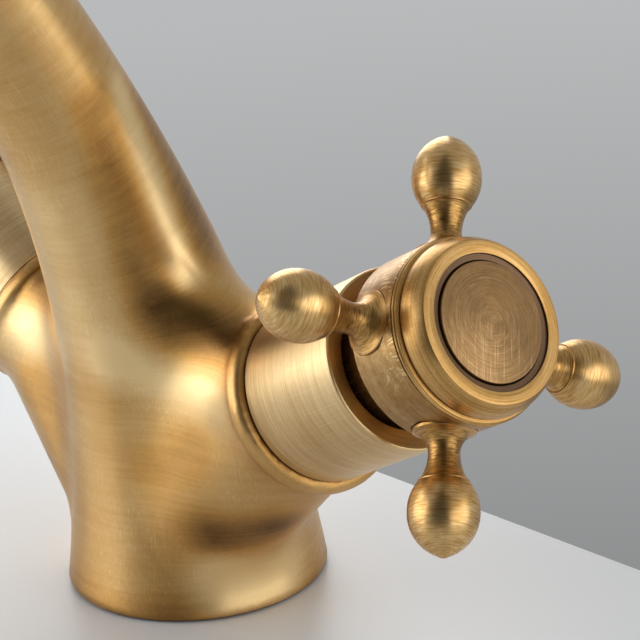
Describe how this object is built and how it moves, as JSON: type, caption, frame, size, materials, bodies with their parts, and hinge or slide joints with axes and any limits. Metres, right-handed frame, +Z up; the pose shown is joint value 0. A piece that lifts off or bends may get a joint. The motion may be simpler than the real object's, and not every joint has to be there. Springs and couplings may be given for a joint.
{
  "type": "basin mixer tap",
  "caption": "Antique brass basin mixer tap: cast body with arched spout and raised side arms, cross handles on quarter-turn valves, aerator, and a clamp below the deck.",
  "frame": {"origin": "middle of the foot's underside, on the top of the basin deck", "axes": "+Z up out of the deck, spout reaching towards -Y, cold valve towards +X and hot valve towards -X"},
  "size_m": [0.1722, 0.1661, 0.2137],
  "materials": {
    "cast_brass": "brushed antique brass casting",
    "sleeve_brass": "turned and brushed round",
    "handle_brass": "turned antique brass",
    "cap_brass": "dark brass with turning rings",
    "plain_brass": "machined brass",
    "zinc_steel": "zinc plated",
    "black_rubber": "moulded rubber",
    "white_plastic": "moulded plastic",
    "white_ceramic": "lapped ceramic"
  },
  "bodies": {
    "tap_body": {"body_casting": "cast_brass", "base_gasket": "black_rubber", "fixing_stud": "zinc_steel", "aerator_washer": "black_rubber", "aerator_insert": "white_plastic", "aerator_housing": "cast_brass", "cold_valve_sleeve": "sleeve_brass", "cold_headwork_housing": "plain_brass", "cold_seat_seal": "black_rubber", "cold_headwork_seal": "black_rubber", "cold_fixed_disc": "white_ceramic", "hot_valve_sleeve": "sleeve_brass", "hot_headwork_housing": "plain_brass", "hot_seat_seal": "black_rubber", "hot_headwork_seal": "black_rubber", "hot_fixed_disc": "white_ceramic"},
    "cold_handle": {"cold_moving_disc": "white_ceramic", "cold_spindle": "plain_brass", "cold_spindle_seal": "black_rubber", "cold_circlip": "zinc_steel", "cold_handle_hub": "handle_brass", "cold_handle_arm_1": "handle_brass", "cold_handle_arm_2": "handle_brass", "cold_handle_arm_3": "handle_brass", "cold_handle_arm_4": "handle_brass", "cold_handle_bezel": "handle_brass", "cold_handle_cap": "cap_brass", "cold_handle_screw": "zinc_steel"},
    "hot_handle": {"hot_moving_disc": "white_ceramic", "hot_spindle": "plain_brass", "hot_spindle_seal": "black_rubber", "hot_circlip": "zinc_steel", "hot_handle_hub": "handle_brass", "hot_handle_arm_1": "handle_brass", "hot_handle_arm_2": "handle_brass", "hot_handle_arm_3": "handle_brass", "hot_handle_arm_4": "handle_brass", "hot_handle_bezel": "handle_brass", "hot_handle_cap": "cap_brass", "hot_handle_screw": "zinc_steel"},
    "deck_clamp": {"clamp_washer": "black_rubber", "clamp_plate": "zinc_steel", "clamp_nut": "plain_brass"}
  },
  "joints": [
    {"name": "cold_handle_turn", "type": "hinge", "parent": "tap_body", "child": "cold_handle", "pos_m": [0, 0, 0.0235], "axis": [0.8829, 0, 0.4695], "range_deg": [-90, 0]},
    {"name": "hot_handle_turn", "type": "hinge", "parent": "tap_body", "child": "hot_handle", "pos_m": [0, 0, 0.0235], "axis": [-0.8829, 0, 0.4695], "range_deg": [0, 90]},
    {"name": "deck_clamp_slide", "type": "slide", "parent": "tap_body", "child": "deck_clamp", "axis": [0, 0, 1], "range_m": [-0.018, 0.015]}
  ]
}
